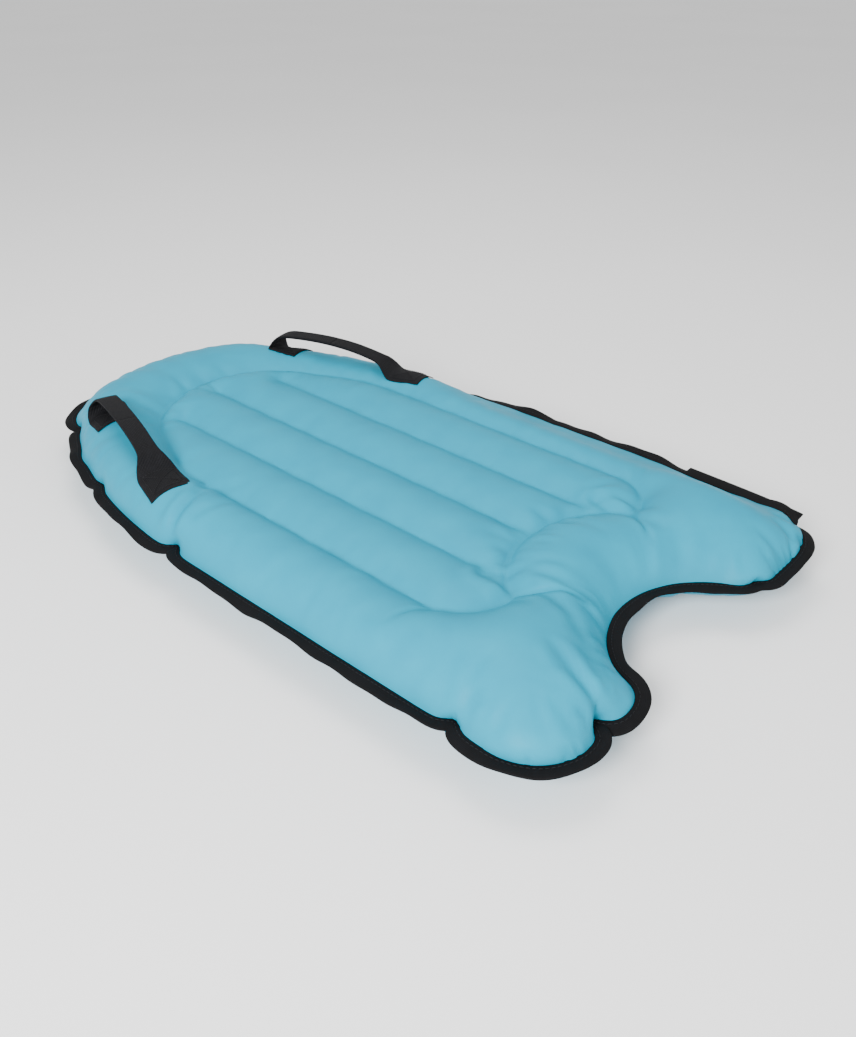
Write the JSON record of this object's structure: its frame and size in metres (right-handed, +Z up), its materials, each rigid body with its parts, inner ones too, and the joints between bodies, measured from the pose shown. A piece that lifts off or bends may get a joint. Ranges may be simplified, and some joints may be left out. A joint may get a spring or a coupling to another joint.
{
  "type": "bodyboard",
  "caption": "Inflatable fabric bodyboard with a rounded nose, a ridged sunk deck, a crescent tail notch and a webbing handle on each side of the nose.",
  "frame": {"origin": "under the middle of the board, on the surface that its underside lies on", "axes": "+Y to the nose, +X to the rider's right, +Z up from the deck"},
  "size_m": [0.536, 0.9562, 0.1142],
  "materials": {
    "cyan_fabric": "coated, satin",
    "black_tape": "woven tape",
    "black_thread": "thread",
    "black_webbing": "woven webbing",
    "baffle_cloth": "matte",
    "sealing_patch": "matte",
    "valve_rubber": "matte",
    "valve_plastic": "moulded",
    "membrane_rubber": "matte"
  },
  "bodies": {
    "board": {"top_skin": "cyan_fabric", "bottom_skin": "cyan_fabric", "edge_binding": "black_tape", "binding_stitching": "black_thread", "rim_baffle": "baffle_cloth", "baffle_left": "baffle_cloth", "baffle_centre": "baffle_cloth", "baffle_right": "baffle_cloth", "handle_backing_patches": "sealing_patch", "handle_stitching": "black_thread", "left_handle_front_tab": "black_webbing", "left_handle_rear_tab": "black_webbing", "right_handle_front_tab": "black_webbing", "right_handle_rear_tab": "black_webbing", "valve_base": "valve_rubber"},
    "left_grip": {"left_handle_grip": "black_webbing"},
    "right_grip": {"right_handle_grip": "black_webbing"},
    "valve_core": {"valve_insert": "valve_plastic", "valve_membrane": "membrane_rubber"},
    "valve_lid": {"valve_cap": "valve_plastic", "valve_cap_seal": "membrane_rubber"}
  },
  "joints": [
    {"name": "right_grip_tilt", "type": "hinge", "parent": "board", "child": "right_grip", "pos_m": [0.18864, 0.17698, 0.10255], "axis": [-0.2634, 0.963, 0.0569], "range_deg": [-45, 45], "stiffness_Nm_per_rad": 0.05},
    {"name": "left_grip_tilt", "type": "hinge", "parent": "board", "child": "left_grip", "pos_m": [-0.18864, 0.17698, 0.10255], "axis": [0.2634, 0.963, 0.0569], "range_deg": [-45, 45], "stiffness_Nm_per_rad": 0.05},
    {"name": "valve_core_turn", "type": "hinge", "parent": "board", "child": "valve_core", "pos_m": [-0.126, -0.21613, 0.004], "axis": [0, 0, 1], "range_deg": [-60, 0]},
    {"name": "valve_cap_tip", "type": "hinge", "parent": "valve_core", "child": "valve_lid", "pos_m": [-0.1394, -0.21613, 0.0024], "axis": [0, 1, 0], "range_deg": [0, 150]}
  ]
}
